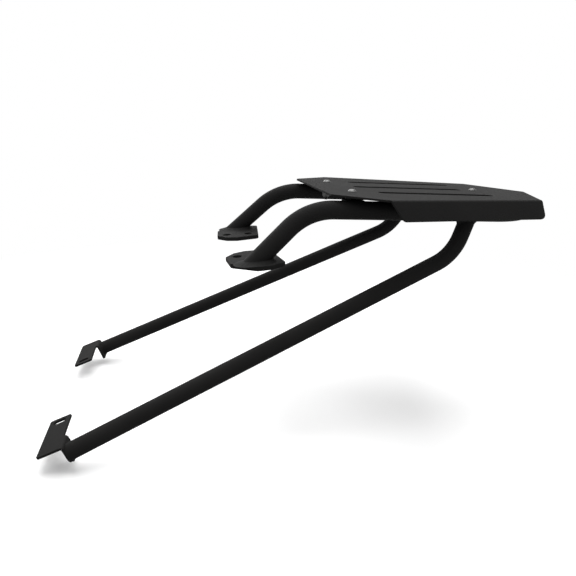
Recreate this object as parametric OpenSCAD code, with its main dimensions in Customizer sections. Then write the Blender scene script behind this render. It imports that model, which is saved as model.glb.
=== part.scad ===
// Luggage rack for the tail of a motorcycle, welded from steel tube with a
// bolted, folded sheet plate. Millimetres. +X points to the rear, +Y to the
// right-hand side and +Z up. The origin is on the top face of the plate, on the
// centre line, level with the plate's two widest corners.

/* [Load plate] */
// Width across the two widest corners
plate_wide_w = 264; // [252:1:300]
// Width across the two rear corners
plate_rear_w = 188; // [184:1:215]
// Width of the straight front edge
plate_front_w = 176; // [150:1:230]
// Length from the widest corners back to the rear corners
plate_side_len = 222; // [218:1:260]
// Length from the widest corners forward to the front edge
plate_nose_len = 54; // [40:1:80]
// How far the rear point stands behind the rear corners
plate_tail_len = 42; // [32:1:60]
// Thickness of the sheet
sheet_t = 2.5; // [2:0.5:4]
// Radius of the plate's corners
plate_corner_r = 4; // [1:0.5:8]

/* [Side flanges] */
// Length of a flange down its slope, from the fold
flange_len = 24.5; // [18:0.5:30]
// Angle between a flange and the vertical
flange_flare = 27; // [20:1:40]
// Inside radius of the fold
fold_r = 1.5; // [1:0.5:4]
// How much the sheet thins along the folds, on each face
fold_thin = 0.02; // [0.01:0.01:0.1]
// How far a fold reaches into the flat sheet at its ends
fold_grip = 0.1; // [0.05:0.05:0.2]
// Gap between the widest corner and the front end of the fold
flange_start = 3; // [2:1:20]
// How far the slanted front end of a flange runs back
flange_rake = 12; // [4:1:25]
// Radius of the two lower corners of a flange
flange_corner_r = 7; // [2:1:8]

/* [Plate slots] */
// Width of a slot
slot_w = 14; // [8:1:20]
// Length of a slot, end to end
slot_len = 158; // [60:1:165]
// Distance of the two side slots from the centre line
slot_pitch = 59; // [40:1:65]
// Front end of the side slots
side_slot_x = 16; // [5:1:40]
// Front end of the centre slot
centre_slot_x = 4; // [-10:1:8]

/* [Plate bolts] */
// Place of the front bolts along the plate
front_bolt_x = -17; // [-25:1:-14]
// Distance of the front bolts from the centre line
front_bolt_y = 55; // [45:1:62]
// Place of the rear bolt along the plate
rear_bolt_x = 181; // [178:1:196]
// Thread diameter
bolt_d = 6; // [5:1:6]
// Diameter of the round head
head_d = 10.5; // [9.5:0.5:14]
// Height of the round head
head_h = 3.3; // [2.5:0.1:4]
// Hexagon socket, across the flats
socket_af = 4; // [3:0.5:5]
// Depth of the socket
socket_depth = 2; // [1:0.1:2.2]
// Length of bolt that stands out of the nut
bolt_proud = 4.3; // [1:0.1:8]
// Nut, across the flats
nut_af = 10; // [9:0.5:13]
// Height of the nut
nut_h = 6; // [4:0.5:8]
// Outside diameter of the washers
washer_d = 12; // [11:0.5:16]
// Thickness of the washers
washer_t = 1.6; // [1:0.1:2.5]
// Outside diameter of the rubber spacers
spacer_d = 16; // [12:0.5:20]
// Clearance of the holes around a bolt, on the diameter
hole_clear = 0.6; // [0.3:0.1:1.5]
// Clearance between bolt and nut, on the diameter
thread_clear = 0.1; // [0.05:0.05:0.2]

/* [Lugs] */
// Thickness of the lugs that carry the plate
lug_t = 4; // [3:0.5:5]
// Width of the lugs
lug_w = 24; // [20:1:30]
// How far the lugs lie below the top of the tube
lug_drop = 2; // [1:0.5:4]

/* [Hoop tube] */
// How much a tube draws in at its bends, on the radius
bend_draw = 0.05; // [0.02:0.01:0.3]
// How far a bend reaches into the straight tube at its ends
bend_grip = 0.2; // [0.1:0.05:0.4]
// Outside diameter of the hoop tube
hoop_d = 22; // [18:0.5:24]
// Wall of the hoop tube
hoop_wall = 2; // [1.5:0.25:3]
// Distance between the two sides of the hoop, centre to centre
hoop_track = 177; // [168:1:184]
// Gap between the sheet and the top of the hoop
hoop_gap = 4.6; // [3:0.2:8]
// Centre-line radius of the hoop's bends
hoop_bend_r = 76; // [60:1:80]
// Place of the hoop's straight rear part, on its centre line
hoop_rear_x = 238; // [230:1:244]
// Place where the centre lines of sides and legs cross
hoop_leg_x = -80.5; // [-92:0.5:-72]
// Slope of the legs below the horizontal
leg_slope = 45; // [38:1:50]
// Angle by which the legs lean outwards
leg_lean = 10; // [0:1:14]

/* [Feet] */
// Height of the feet below the plate, at the legs
foot_drop = 78; // [70:1:95]
// Tilt of the feet, rising to the rear
foot_tilt = 6; // [0:1:10]
// Thickness of the foot plates
foot_t = 5.5; // [4:0.5:10]
// Length of a foot ahead of the leg's end
foot_nose_len = 30.5; // [27:0.5:42]
// Distance of the nose's inner corner inwards from the leg's end
foot_nose_in = 38; // [34:1:44]
// Length from the leg's end forward to the nose's outer corner
foot_brow_len = 27.5; // [22:0.5:32]
// Distance of the nose's outer corner inwards from the leg's end
foot_brow_in = 5; // [-4:1:9]
// Length from the leg's end forward to the inner shoulder
foot_shoulder_len = 19; // [14:1:22]
// Distance of the inner shoulder inwards from the leg's end
foot_shoulder_in = 53; // [50:1:55]
// Length from the leg's end forward to the innermost corner
foot_waist_len = 5; // [2:1:8]
// Distance of the innermost corner inwards from the leg's end
foot_waist_in = 59; // [57:1:62]
// Length of the inner edge behind the leg's end
foot_heel_in_len = 26; // [22:1:30]
// Distance of the heel's inner corner inwards from the leg's end
foot_heel_in = 56; // [53:1:58]
// Length of a foot behind the leg's end
foot_heel_len = 34; // [31:1:42]
// Distance of the heel's outer corner outwards from the leg's end
foot_heel_out = 10; // [6:1:14]
// Distance of the outer edge outwards from the leg's end
foot_out = 19; // [16:1:26]
// Length of the outer edge, from beside the leg's end to the rear
foot_out_len = 16; // [10:1:20]
// Corner radius of the feet
foot_corner_r = 5; // [2:0.5:8]
// Diameter of the holes in the feet
foot_hole_d = 11; // [8:0.5:12]
// Front hole ahead of the leg's end
foot_hole_front = 16.5; // [15:0.5:20]
// Distance of the front hole inwards from the leg's end
foot_hole_front_in = 35.5; // [30:0.5:38]
// Rear hole behind the leg's end
foot_hole_rear = 13.5; // [8:0.5:18]
// Distance of the rear hole inwards from the leg's end
foot_hole_rear_in = 40; // [34:0.5:46]

/* [Stays] */
// Outside diameter of the stays
stay_d = 20; // [16:0.5:22]
// Wall of the stays
stay_wall = 2; // [1.5:0.25:3]
// Slope of the stays
stay_slope = 25; // [20:1:32]
// Angle of the bends at the top of the stays
stay_bend = 45; // [35:1:55]
// Centre-line radius of those bends
stay_bend_r = 60; // [45:1:66]
// Place where the stays meet the hoop
stay_top_x = 127; // [110:1:140]
// Straight length from the hoop's centre line down to the bend
stay_neck_len = 31; // [28:1:45]
// Straight length from the bend to the front end
stay_len = 479; // [400:1:540]
// Angle by which the stays spread outwards, seen from above
stay_spread = 2.6; // [0:0.1:5]
// Angle by which the stays lean outwards, seen from behind
stay_lean = 6; // [0:0.5:10]

/* [Tabs] */
// Thickness of the tabs at the front ends of the stays
tab_t = 3; // [2.5:0.5:5]
// Slope of the slotted leg below the horizontal
tab_slope = 22.5; // [16:0.5:30]
// How far the tabs stand in from the stay's outer side
tab_inset = 1.5; // [0:0.5:4]
// Width of the slotted leg
tab_w = 71.5; // [50:0.5:80]
// Length of the slotted leg, with the cap's thickness
tab_len = 30; // [24:0.5:36]
// Width of the cap that closes the stay
tab_cap_w = 25.5; // [24:0.5:34]
// How far the cap reaches past the stay's underside
tab_cap_lip = 2; // [1:0.5:8]
// Radius of the cap's outer lower corner
tab_cap_r = 9; // [4:0.5:10]
// Gap between the stay's upper side and the slotted leg
tab_gap = 0; // [0:0.1:3]
// Outer fold radius of the tabs
tab_fold_r = 4; // [3.5:0.5:5]
// Radius of the other corners
tab_corner_r = 2.5; // [1:0.5:5]
// Width of the slot in a tab
tab_slot_w = 7; // [5:0.5:9]
// Length of the slot in a tab, end to end
tab_slot_len = 15; // [10:0.5:18]
// Distance of the slot's middle from the inner edge
tab_slot_in = 8.5; // [7:0.5:12]

/* [Welds] */
// Leg length of the welds around the tubes
weld_a = 3; // [2:0.5:3.5]

/* [Hidden] */
$fn = 64;
over = 1;
far = 1000;

hoop_r = hoop_d / 2;
stay_r = stay_d / 2;
hoop_z = -(sheet_t + hoop_gap + hoop_r);
hoop_y = hoop_track / 2;
lug_top_z = -(sheet_t + hoop_gap + lug_drop);
hole_d = bolt_d + hole_clear;
fold_out_r = fold_r + sheet_t;
fold_angle = 90 - flange_flare;
fold_back = fold_out_r * tan(fold_angle / 2);

// Colours, as the finish looks in daylight
powder_black = [0.13, 0.13, 0.13];
steel_black = [0.25, 0.25, 0.25];
rubber_black = [0.07, 0.07, 0.07];

// Vector helpers
function unit(v) = v / norm(v);

// Sets children with their own x, y and z axes along three given directions
module along(ex, ey, ez, at) {
    multmatrix([
        [ex.x, ey.x, ez.x, at.x],
        [ex.y, ey.y, ez.y, at.y],
        [ex.z, ey.z, ez.z, at.z],
        [0, 0, 0, 1]
    ]) children();
}

// Rounded outline: a convex polygon, counter-clockwise, with a radius per corner
module rounded_outline(points, radii) {
    n = len(points);
    u = [for (i = [0 : n - 1]) unit(points[i] - points[(i + n - 1) % n])];
    w = [for (i = [0 : n - 1]) unit(points[(i + 1) % n] - points[i])];
    back = [for (i = [0 : n - 1]) radii[i] * tan(acos(u[i] * w[i]) / 2)];
    polygon([for (i = [0 : n - 1]) each [
        points[i] - u[i] * back[i],
        points[i] + w[i] * back[i]
    ]]);
    for (i = [0 : n - 1])
        if (radii[i] > 0)
            translate(points[i] - u[i] * back[i] + [-u[i].y, u[i].x] * radii[i])
                circle(radii[i]);
}

// Slot outline from one end to the other along x, centred on its width
module slot_outline(len, w) {
    translate([w / 2, -w / 2]) square([len - w, w]);
    translate([w / 2, 0]) circle(w / 2);
    translate([len - w / 2, 0]) circle(w / 2);
}

// Places children at the far end of a straight length up z
module after_straight(len) {
    translate([0, 0, len]) children();
}

// Places children at the far end of a bend that leads from z towards x
module after_bend(angle, bend_r) {
    translate([bend_r, 0, 0]) rotate([0, angle, 0]) translate([-bend_r, 0, 0]) children();
}

// Straight tube up z, with children at its far end; with no wall it is a solid bar
module straight(len, r, wall) {
    difference() {
        cylinder(h = len, r = r);
        if (wall > 0)
            translate([0, 0, -over]) cylinder(h = len + 2 * over, r = r - wall);
    }
    after_straight(len) children();
}

// Bent tube that leads from z towards x, with children at its far end
module bend(angle, bend_r, r, wall) {
    difference() {
        translate([bend_r, 0, 0]) rotate([90, 0, 0]) rotate_extrude() translate([bend_r, 0])
            difference() {
                circle(r - bend_draw);
                if (wall > 0)
                    circle(r - bend_draw - wall);
            }
        translate([-far, -far, -2 * far - bend_grip]) cube(2 * far);
        after_bend(angle, bend_r) translate([-far, -far, bend_grip]) cube(2 * far);
        translate([bend_r, -far, -2 * far]) cube([far, 2 * far, 3 * far]);
    }
    after_bend(angle, bend_r) children();
}

// Sets children with z along a direction
module rod_frame(ez, at) {
    ex = unit(cross(abs(ez.y) < 0.9 ? [0, 1, 0] : [1, 0, 0], ez));
    along(ex, cross(ez, ex), ez, at) children();
}

// Straight rod between two points
module rod(a, b, r) {
    rod_frame(unit(b - a), a) cylinder(h = norm(b - a), r = r);
}

// Cone for a fillet of leg a around the start of a rod
module rod_fillet(start, end, r, a) {
    ez = unit(end - start);
    rod_frame(ez, start - ez * over)
        cylinder(h = a + 2 * over, r1 = r + a + over, r2 = r - over);
}

// Mirrors a right-hand piece to the left-hand side when asked
module on_side(left) {
    mirror([0, left ? 1 : 0, 0]) children();
}

// Plate outline up to the folds; its side corners run on past them to be cut there
fold_turn = atan2((plate_wide_w - plate_rear_w) / 2, plate_side_len);
fold_in_y = fold_back / cos(fold_turn);
plate_nose = [-plate_nose_len, plate_front_w / 2];
plate_wide = [0, plate_wide_w / 2 - fold_in_y];
plate_rear = [plate_side_len, plate_rear_w / 2 - fold_in_y];
plate_apex = [plate_side_len + plate_tail_len, 0];
plate_half = [
    plate_rear + unit(plate_rear - plate_apex) * fold_in_y,
    plate_wide + unit(plate_wide - plate_nose) * fold_in_y,
    plate_nose
];
plate_points = concat([plate_apex], plate_half,
    [for (i = [2 : -1 : 0]) [plate_half[i].x, -plate_half[i].y]]);
plate_radii = [plate_corner_r, 0, 0, plate_corner_r, plate_corner_r, 0, 0];

// Centre places of the three plate bolts
bolt_front = [front_bolt_x, front_bolt_y];
bolt_rear_at = [rear_bolt_x, 0];

module plate_holes() {
    for (y = [-slot_pitch, slot_pitch])
        translate([side_slot_x, y]) slot_outline(slot_len, slot_w);
    translate([centre_slot_x, 0]) slot_outline(slot_len, slot_w);
    for (p = [bolt_front, [bolt_front.x, -bolt_front.y], bolt_rear_at])
        translate(p) circle(d = hole_d);
}

// Axis of the right-hand fold, with x to the rear along it and y outwards
module on_fold() {
    translate([0, plate_wide_w / 2, 0]) rotate([0, 0, -fold_turn])
        translate([0, -fold_back, -fold_out_r]) children();
}

// Everything on the outer side of the fold's axis
module outer_side() {
    translate([-far, 0, -far]) cube(2 * far);
}

// Right-hand flange with its fold
module flange() {
    side = norm([plate_side_len, (plate_wide_w - plate_rear_w) / 2]);
    fold_len = side - flange_start;
    leg = flange_len - fold_back;
    on_fold() translate([flange_start, 0, 0]) {
        difference() {
            rotate([0, 90, 0]) difference() {
                cylinder(h = fold_len, r = fold_out_r - fold_thin);
                translate([0, 0, -over])
                    cylinder(h = fold_len + 2 * over, r = fold_r + fold_thin);
            }
            translate([0, -fold_grip, 0]) mirror([0, 1, 0]) outer_side();
            rotate([-fold_angle, 0, 0]) translate([0, fold_grip, 0]) outer_side();
        }
        rotate([-fold_angle, 0, 0]) translate([0, 0, fold_r]) linear_extrude(sheet_t)
            rounded_outline([[0, 0], [fold_len, 0], [fold_len, leg], [flange_rake, leg]],
                [0, 0, flange_corner_r, flange_corner_r]);
    }
}

module top_plate() {
    color(powder_black) {
        difference() {
            translate([0, 0, -sheet_t]) linear_extrude(sheet_t) difference() {
                rounded_outline(plate_points, plate_radii);
                plate_holes();
            }
            on_fold() outer_side();
            mirror([0, 1, 0]) on_fold() outer_side();
        }
        flange();
        mirror([0, 1, 0]) flange();
    }
}

// Lengths along the hoop, from the middle of its rear part to the right-hand foot
rear_half = hoop_y - hoop_bend_r;
side_front_x = hoop_leg_x + hoop_bend_r * tan(leg_slope / 2);
side_len = hoop_rear_x - hoop_bend_r - side_front_x;
leg_len = 2 * foot_drop;

// Right-hand leg: its direction and its end on top of the foot
leg_dir = [-cos(leg_slope), sin(leg_slope) * sin(leg_lean), -sin(leg_slope) * cos(leg_lean)];
leg_end = [hoop_leg_x, hoop_y, hoop_z] + leg_dir * (foot_drop + hoop_z) / -leg_dir.z;

// Middle of the hoop's rear part, with z along the tube to the right
module on_rear() {
    translate([hoop_rear_x, 0, hoop_z]) rotate([0, 180, 0]) rotate([-90, 0, 0]) children();
}

// Top of the right-hand leg, with z down the leg
module on_leg() {
    on_rear() after_straight(rear_half) after_bend(90, hoop_bend_r)
        after_straight(side_len) rotate([0, 0, -90 - leg_lean])
        after_bend(leg_slope, hoop_bend_r) children();
}

module half_hoop() {
    on_rear() straight(rear_half, hoop_r, hoop_wall)
        bend(90, hoop_bend_r, hoop_r, hoop_wall)
        straight(side_len, hoop_r, hoop_wall) rotate([0, 0, -90 - leg_lean])
        bend(leg_slope, hoop_bend_r, hoop_r, hoop_wall)
        straight(leg_len, hoop_r, hoop_wall);
}

// Places children on the plane of the feet's top faces, level with the legs' ends
module on_foot_plane() {
    translate([leg_end.x, 0, leg_end.z]) rotate([0, -foot_tilt, 0]) children();
}

module hoop_tube() {
    color(powder_black) difference() {
        union() {
            half_hoop();
            mirror([0, 1, 0]) half_hoop();
        }
        on_foot_plane() translate([-far / 2, -far / 2, -far]) cube(far);
    }
}

module foot(left) {
    outline = [
        [-foot_nose_len, -foot_nose_in],
        [-foot_shoulder_len, -foot_shoulder_in],
        [-foot_waist_len, -foot_waist_in],
        [foot_heel_in_len, -foot_heel_in],
        [foot_heel_len, foot_heel_out],
        [foot_out_len, foot_out],
        [0, foot_out],
        [-foot_brow_len, -foot_brow_in]
    ];
    color(powder_black) on_side(left) on_foot_plane()
    translate([0, leg_end.y, -foot_t]) difference() {
        linear_extrude(foot_t) rounded_outline(outline, [for (p = outline) foot_corner_r]);
        for (p = [[-foot_hole_front, -foot_hole_front_in], [foot_hole_rear, -foot_hole_rear_in]])
            translate([p.x, p.y, -over]) cylinder(h = foot_t + 2 * over, d = foot_hole_d);
    }
}

// Turns a direction in the vertical plane to that of the right-hand stay
function spread(v) = [
    v.x * cos(stay_spread) - v.z * sin(stay_lean) * sin(stay_spread),
    -v.x * sin(stay_spread) - v.z * sin(stay_lean) * cos(stay_spread),
    v.z * cos(stay_lean)
];

// Right-hand stay: its top on the hoop's centre line, its neck and its front end
stay_top = [stay_top_x, hoop_y, hoop_z];
neck_slope = stay_slope + stay_bend;
neck_dir = spread([-cos(neck_slope), 0, -sin(neck_slope)]);
stay_dir = spread([-cos(stay_slope), 0, -sin(stay_slope)]);
stay_back = stay_bend_r * tan(stay_bend / 2);
stay_corner = stay_top + neck_dir * (stay_neck_len + stay_back);
stay_end = stay_corner + stay_dir * (stay_back + stay_len);

// Straight side of the hoop, where the stays and the front lugs meet it
module hoop_side(r) {
    translate([side_front_x, hoop_y, hoop_z]) rotate([0, 90, 0]) cylinder(h = side_len, r = r);
}

module stay(left) {
    color(powder_black) on_side(left) difference() {
        translate(stay_top) rotate([stay_lean, 0, -stay_spread]) rotate([0, -90 - neck_slope, 0])
            straight(stay_neck_len, stay_r, stay_wall)
            bend(stay_bend, stay_bend_r, stay_r, stay_wall)
            straight(stay_len + stay_r, stay_r, stay_wall);
        hoop_side(hoop_r);
        on_tab() translate([0, -far, -far]) cube(2 * far);
    }
}

// Frame of a tab at the stay's end: x forward along its slotted leg, y inwards
module on_tab() {
    translate(stay_end) rotate([0, tab_slope, 180]) children();
}

module tab(left) {
    outer_y = tab_inset - stay_r;
    inner_y = outer_y + tab_w;
    cap_y = outer_y + tab_cap_w;
    top_z = stay_r + tab_gap + tab_t;
    low_z = -stay_r - tab_cap_lip;
    r = tab_corner_r;
    color(powder_black) on_side(left) on_tab() {
        translate([0, 0, top_z - tab_t]) linear_extrude(tab_t) difference() {
            rounded_outline(
                [[tab_fold_r, outer_y], [tab_len, outer_y], [tab_len, inner_y],
                 [tab_fold_r, inner_y]],
                [0, r, r, r]);
            translate([(tab_len + tab_fold_r - tab_slot_len) / 2, inner_y - tab_slot_in])
                slot_outline(tab_slot_len, tab_slot_w);
        }
        translate([0, cap_y, top_z]) rotate([90, 0, 0]) linear_extrude(tab_cap_w)
            intersection() {
                translate([tab_fold_r, -tab_fold_r]) difference() {
                    circle(tab_fold_r);
                    circle(tab_fold_r - tab_t);
                }
                translate([0, -tab_fold_r]) square(tab_fold_r);
            }
        translate([0, 0, low_z]) rotate([90, 0, 90]) linear_extrude(tab_t)
            rounded_outline(
                [[outer_y, 0], [cap_y, 0], [cap_y, top_z - tab_fold_r - low_z],
                 [outer_y, top_z - tab_fold_r - low_z]],
                [tab_cap_r, r, 0, 0]);
    }
}

// Tongue outline of a lug, with its round end on the bolt and its root at reach
module lug_outline(reach) {
    circle(d = lug_w);
    translate([0, -lug_w / 2]) square([reach, lug_w]);
}

module lug(at, reach, heading) {
    translate([at.x, at.y, lug_top_z - lug_t]) linear_extrude(lug_t) difference() {
        rotate(heading) lug_outline(reach);
        circle(d = hole_d);
    }
}

module lug_front(left) {
    color(powder_black) on_side(left) difference() {
        lug(bolt_front, hoop_y - bolt_front.y, 90);
        hoop_side(hoop_r);
    }
}

// Both rear bends of the hoop with the straight part between them, as a solid bar
module hoop_rear() {
    for (side = [0, 1])
        mirror([0, side, 0]) on_rear()
            straight(rear_half, hoop_r, 0) bend(90, hoop_bend_r, hoop_r, 0);
}

module lug_rear() {
    color(powder_black) difference() {
        lug(bolt_rear_at, hoop_rear_x - bolt_rear_at.x, 0);
        hoop_rear();
    }
}

// Heights of the stack under each bolt
washer_z = lug_top_z - lug_t - washer_t;
nut_z = washer_z - nut_h;
bolt_tip_z = nut_z - bolt_proud;

// Round-headed bolt with a hexagon socket, its head on the plate
module bolt(at) {
    head_r = head_d / 2;
    dome_r = (head_r * head_r + head_h * head_h) / (2 * head_h);
    color(steel_black) translate(at) difference() {
        union() {
            intersection() {
                translate([0, 0, head_h - dome_r]) sphere(dome_r);
                cylinder(h = head_h, r = head_r);
            }
            translate([0, 0, bolt_tip_z]) cylinder(h = -bolt_tip_z, d = bolt_d);
        }
        translate([0, 0, head_h - socket_depth])
            cylinder(h = socket_depth + over, d = socket_af / cos(30), $fn = 6);
    }
}

module ring(at, z, h, outer_d, inner_d) {
    translate([at.x, at.y, z]) difference() {
        cylinder(h = h, d = outer_d);
        translate([0, 0, -over]) cylinder(h = h + 2 * over, d = inner_d);
    }
}

module spacer(at) {
    color(rubber_black) ring(at, lug_top_z, -sheet_t - lug_top_z, spacer_d, hole_d);
}

module washer(at) {
    color(steel_black) ring(at, washer_z, washer_t, washer_d, hole_d);
}

module nut(at) {
    color(steel_black) translate([at.x, at.y, nut_z]) difference() {
        cylinder(h = nut_h, d = nut_af / cos(30), $fn = 6);
        translate([0, 0, -over])
            cylinder(h = nut_h + 2 * over, d = bolt_d + thread_clear);
    }
}

// Weld between a leg of the hoop and its foot
module weld_foot(left) {
    color(powder_black) on_side(left) difference() {
        on_leg() straight(leg_len, hoop_r + weld_a, weld_a);
        on_foot_plane() translate([-far / 2, -far / 2, -far]) cube(far);
        on_foot_plane() translate([-far / 2, -far / 2, weld_a]) cube(far);
    }
}

// Weld between a stay and the underside of the hoop
module weld_stay(left) {
    color(powder_black) on_side(left) difference() {
        intersection() {
            rod(stay_top, stay_corner, stay_r + weld_a);
            hoop_side(hoop_r + weld_a);
        }
        rod(stay_top, stay_corner, stay_r);
        hoop_side(hoop_r);
        translate([stay_top.x - far / 2, stay_top.y - far / 2, stay_top.z]) cube(far);
    }
}

// Weld between a stay and its tab, on the side where the cap reaches past the stay
module weld_tab(left) {
    color(powder_black) on_side(left) difference() {
        rod_fillet(stay_end, stay_end - stay_dir, stay_r, weld_a);
        rod(stay_end + stay_dir * stay_r, stay_end - stay_dir * stay_r, stay_r);
        on_tab() translate([0, -far, -far]) cube(2 * far);
        on_tab() translate([-far, -2 * far - stay_r / 2, -far]) cube(2 * far);
    }
}

// Bead under a lug where it meets the tube
module weld_lug_front(left) {
    color(powder_black) on_side(left) difference() {
        translate([front_bolt_x - lug_w / 2, hoop_y - hoop_r - weld_a, lug_top_z - lug_t - weld_a])
            cube([lug_w, hoop_r + weld_a, weld_a]);
        hoop_side(hoop_r);
    }
}

module weld_lug_rear() {
    color(powder_black) difference() {
        translate([hoop_rear_x - hoop_r - weld_a, -lug_w / 2, lug_top_z - lug_t - weld_a])
            cube([hoop_r + weld_a, lug_w, weld_a]);
        hoop_rear();
    }
}

left_front = [bolt_front.x, -bolt_front.y];

top_plate();
hoop_tube();
foot(true);  // foot_left
foot(false);  // foot_right
stay(true);  // stay_left
stay(false);  // stay_right
tab(true);  // tab_left
tab(false);  // tab_right
lug_front(true);  // lug_front_left
lug_front(false);  // lug_front_right
lug_rear();
bolt(left_front);  // bolt_front_left
bolt(bolt_front);  // bolt_front_right
bolt(bolt_rear_at);  // bolt_rear
spacer(left_front);  // spacer_front_left
spacer(bolt_front);  // spacer_front_right
spacer(bolt_rear_at);  // spacer_rear
washer(left_front);  // washer_front_left
washer(bolt_front);  // washer_front_right
washer(bolt_rear_at);  // washer_rear
nut(left_front);  // nut_front_left
nut(bolt_front);  // nut_front_right
nut(bolt_rear_at);  // nut_rear
weld_foot(true);  // weld_foot_left
weld_foot(false);  // weld_foot_right
weld_stay(true);  // weld_stay_left
weld_stay(false);  // weld_stay_right
weld_tab(true);  // weld_tab_left
weld_tab(false);  // weld_tab_right
weld_lug_front(true);  // weld_lug_front_left
weld_lug_front(false);  // weld_lug_front_right
weld_lug_rear();
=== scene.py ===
"""Motorcycle luggage rack: satin black powder coat on a folded, slotted plate and a tube frame.

The frame's axes: +X to the rear, +Y to the right-hand side, +Z up, with the origin on the
plate's top face. Lengths below are in millimetres, as in the part's source, and a mesh is
turned into metres when it is made.
"""
import math

import bpy
import mathutils
import numpy as np
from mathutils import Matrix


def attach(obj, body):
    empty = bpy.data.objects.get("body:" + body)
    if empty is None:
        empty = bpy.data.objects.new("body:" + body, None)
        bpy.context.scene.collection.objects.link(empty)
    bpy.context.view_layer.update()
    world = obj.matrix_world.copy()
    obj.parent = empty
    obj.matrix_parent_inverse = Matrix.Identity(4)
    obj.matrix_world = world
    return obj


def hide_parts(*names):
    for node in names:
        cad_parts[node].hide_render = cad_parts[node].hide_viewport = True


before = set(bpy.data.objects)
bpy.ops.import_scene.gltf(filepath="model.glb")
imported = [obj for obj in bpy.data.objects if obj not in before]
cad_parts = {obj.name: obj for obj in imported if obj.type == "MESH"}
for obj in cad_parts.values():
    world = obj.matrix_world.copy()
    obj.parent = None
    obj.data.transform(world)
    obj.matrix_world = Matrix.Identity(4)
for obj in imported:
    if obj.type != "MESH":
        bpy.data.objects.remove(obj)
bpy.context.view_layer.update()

MM = 0.001

# Sheet plate
PLATE_WIDE = 264.0
PLATE_REAR = 188.0
PLATE_FRONT = 176.0
PLATE_SIDE = 222.0
PLATE_NOSE = 54.0
PLATE_TAIL = 42.0
SHEET_T = 2.5
PLATE_CORNER = 4.0
FLANGE_LEN = 24.5
FLANGE_FLARE = 27.0
FOLD_R = 1.5
FLANGE_START = 3.0
FLANGE_RAKE = 12.0
FLANGE_CORNER = 7.0
SLOT_W = 14.0
SLOT_LEN = 158.0
SLOT_PITCH = 59.0
SIDE_SLOT_X = 16.0
CENTRE_SLOT_X = 4.0

# Bolts, washers, nuts and spacers
FRONT_BOLT = (-17.0, 55.0)
REAR_BOLT = (181.0, 0.0)
BOLT_D = 6.0
HEAD_D = 10.5
HEAD_H = 3.3
SOCKET_AF = 4.0
SOCKET_DEPTH = 2.0
BOLT_PROUD = 4.3
NUT_AF = 10.0
NUT_H = 6.0
WASHER_D = 12.0
WASHER_T = 1.6
SPACER_D = 16.0
HOLE_D = 6.6
THREAD_PITCH = 1.0

# Lugs
LUG_T = 4.0
LUG_W = 24.0
LUG_DROP = 2.0

# Hoop tube
HOOP_D = 22.0
HOOP_TRACK = 177.0
HOOP_GAP = 4.6
HOOP_BEND = 76.0
HOOP_REAR_X = 238.0
HOOP_LEG_X = -80.5
LEG_SLOPE = 45.0
LEG_LEAN = 10.0

# Feet
FOOT_DROP = 78.0
FOOT_TILT = 6.0
FOOT_T = 5.5
FOOT_CORNER = 5.0
FOOT_HOLE_D = 11.0
# Corners and holes of a foot from the leg's end: to the rear and outwards
FOOT_OUTLINE = ((-30.5, -38.0), (-19.0, -53.0), (-5.0, -59.0), (26.0, -56.0), (34.0, 10.0),
                (16.0, 19.0), (0.0, 19.0), (-27.5, -5.0))
FOOT_HOLES = ((-16.5, -35.5), (13.5, -40.0))

# Stays
STAY_D = 20.0
STAY_SLOPE = 25.0
STAY_BEND = 45.0
STAY_BEND_R = 60.0
STAY_TOP_X = 127.0
STAY_NECK = 31.0
STAY_LEN = 479.0
STAY_SPREAD = 2.6
STAY_LEAN = 6.0

# Tabs
TAB_T = 3.0
TAB_SLOPE = 22.5
TAB_INSET = 1.5
TAB_W = 71.5
TAB_LEN = 30.0
TAB_CAP_W = 25.5
TAB_CAP_LIP = 2.0
TAB_CAP_R = 9.0
TAB_FOLD_R = 4.0
TAB_CORNER = 2.5
TAB_SLOT_W = 7.0
TAB_SLOT_LEN = 15.0
TAB_SLOT_IN = 8.5

HOOP_R = HOOP_D / 2
STAY_R = STAY_D / 2
HOOP_Z = -(SHEET_T + HOOP_GAP + HOOP_R)
HOOP_Y = HOOP_TRACK / 2
LUG_TOP_Z = -(SHEET_T + HOOP_GAP + LUG_DROP)
LUG_LOW_Z = LUG_TOP_Z - LUG_T
LEFT = np.array([1.0, -1.0, 1.0])


def sin(degrees):
    return math.sin(math.radians(degrees))


def cos(degrees):
    return math.cos(math.radians(degrees))


def unit(v):
    """The vectors in v, each divided by its length."""
    v = np.asarray(v, float)
    return v / np.linalg.norm(v, axis=-1, keepdims=True)


# ---------------------------------------------------------------- materials

def new_group(name, inputs, outputs):
    """Empty node group with named number inputs and number or vector outputs."""
    group = bpy.data.node_groups.new(name, "ShaderNodeTree")
    for label, default in inputs:
        socket = group.interface.new_socket(label, in_out="INPUT", socket_type="NodeSocketFloat")
        socket.default_value = default
    for label in outputs:
        group.interface.new_socket(label, in_out="OUTPUT", socket_type="NodeSocketFloat")
    return group, group.nodes.new("NodeGroupInput"), group.nodes.new("NodeGroupOutput")


def noise(tree, coords, scale, detail, rough=0.5):
    """Noise texture on object coordinates; scale is a number or a socket."""
    node = tree.nodes.new("ShaderNodeTexNoise")
    node.inputs["Detail"].default_value = detail
    node.inputs["Roughness"].default_value = rough
    tree.links.new(coords, node.inputs["Vector"])
    if isinstance(scale, float):
        node.inputs["Scale"].default_value = scale
    else:
        tree.links.new(scale, node.inputs["Scale"])
    return node.outputs["Fac"]


def math_node(tree, kind, a, b):
    """Math node of one kind; a and b are numbers or sockets."""
    node = tree.nodes.new("ShaderNodeMath")
    node.operation = kind
    for value, socket in zip((a, b), node.inputs):
        if isinstance(value, (int, float)):
            socket.default_value = value
        else:
            tree.links.new(value, socket)
    return node.outputs[0]


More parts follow.
